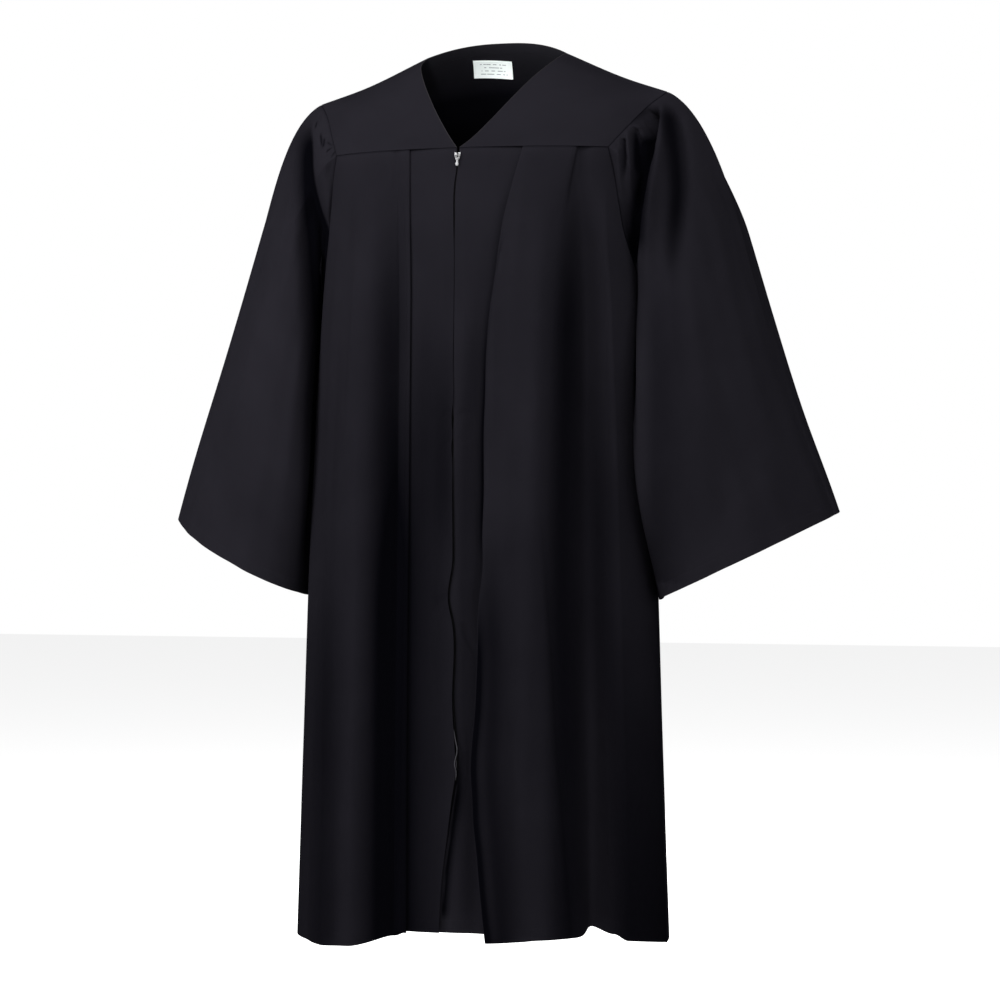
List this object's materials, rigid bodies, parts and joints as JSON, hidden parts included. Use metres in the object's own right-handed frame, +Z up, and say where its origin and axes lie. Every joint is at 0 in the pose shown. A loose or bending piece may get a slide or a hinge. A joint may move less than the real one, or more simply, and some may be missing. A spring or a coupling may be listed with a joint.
{
  "type": "graduation gown",
  "caption": "Long yoked academic gown with a V neck, a front zip, folded front pleats, bell sleeves and an open hem, filled out as it is worn.",
  "frame": {"origin": "midway between the two shoulder-neck points of the neck edge, where the gown hangs on its wearer", "axes": "+Z up, -Y to the front of the gown, +X to the wearer's left"},
  "size_m": [1.0086, 0.3424, 1.3068],
  "materials": {
    "gown_cloth": "matte woven polyester",
    "zip_cloth": "matte tape",
    "zip_metal": "bright nickel",
    "label_cloth": "smooth pale satin"
  },
  "bodies": {
    "gown": {"back": "gown_cloth", "front_left": "gown_cloth", "front_right": "gown_cloth", "yoke_back": "gown_cloth", "yoke_front_left": "gown_cloth", "yoke_front_right": "gown_cloth", "sleeve_left": "gown_cloth", "sleeve_right": "gown_cloth", "neck_label": "label_cloth", "zip_tape_left": "zip_cloth", "zip_tape_right": "zip_cloth", "zip_slider": "zip_metal", "zip_stop": "zip_metal"},
    "pull_tab": {"zip_pull": "zip_metal"}
  },
  "joints": [
    {"name": "pull_tab_swing", "type": "hinge", "parent": "gown", "child": "pull_tab", "pos_m": [0, -0.17688, -0.1605], "axis": [-1, 0, 0], "range_deg": [0, 165]}
  ]
}
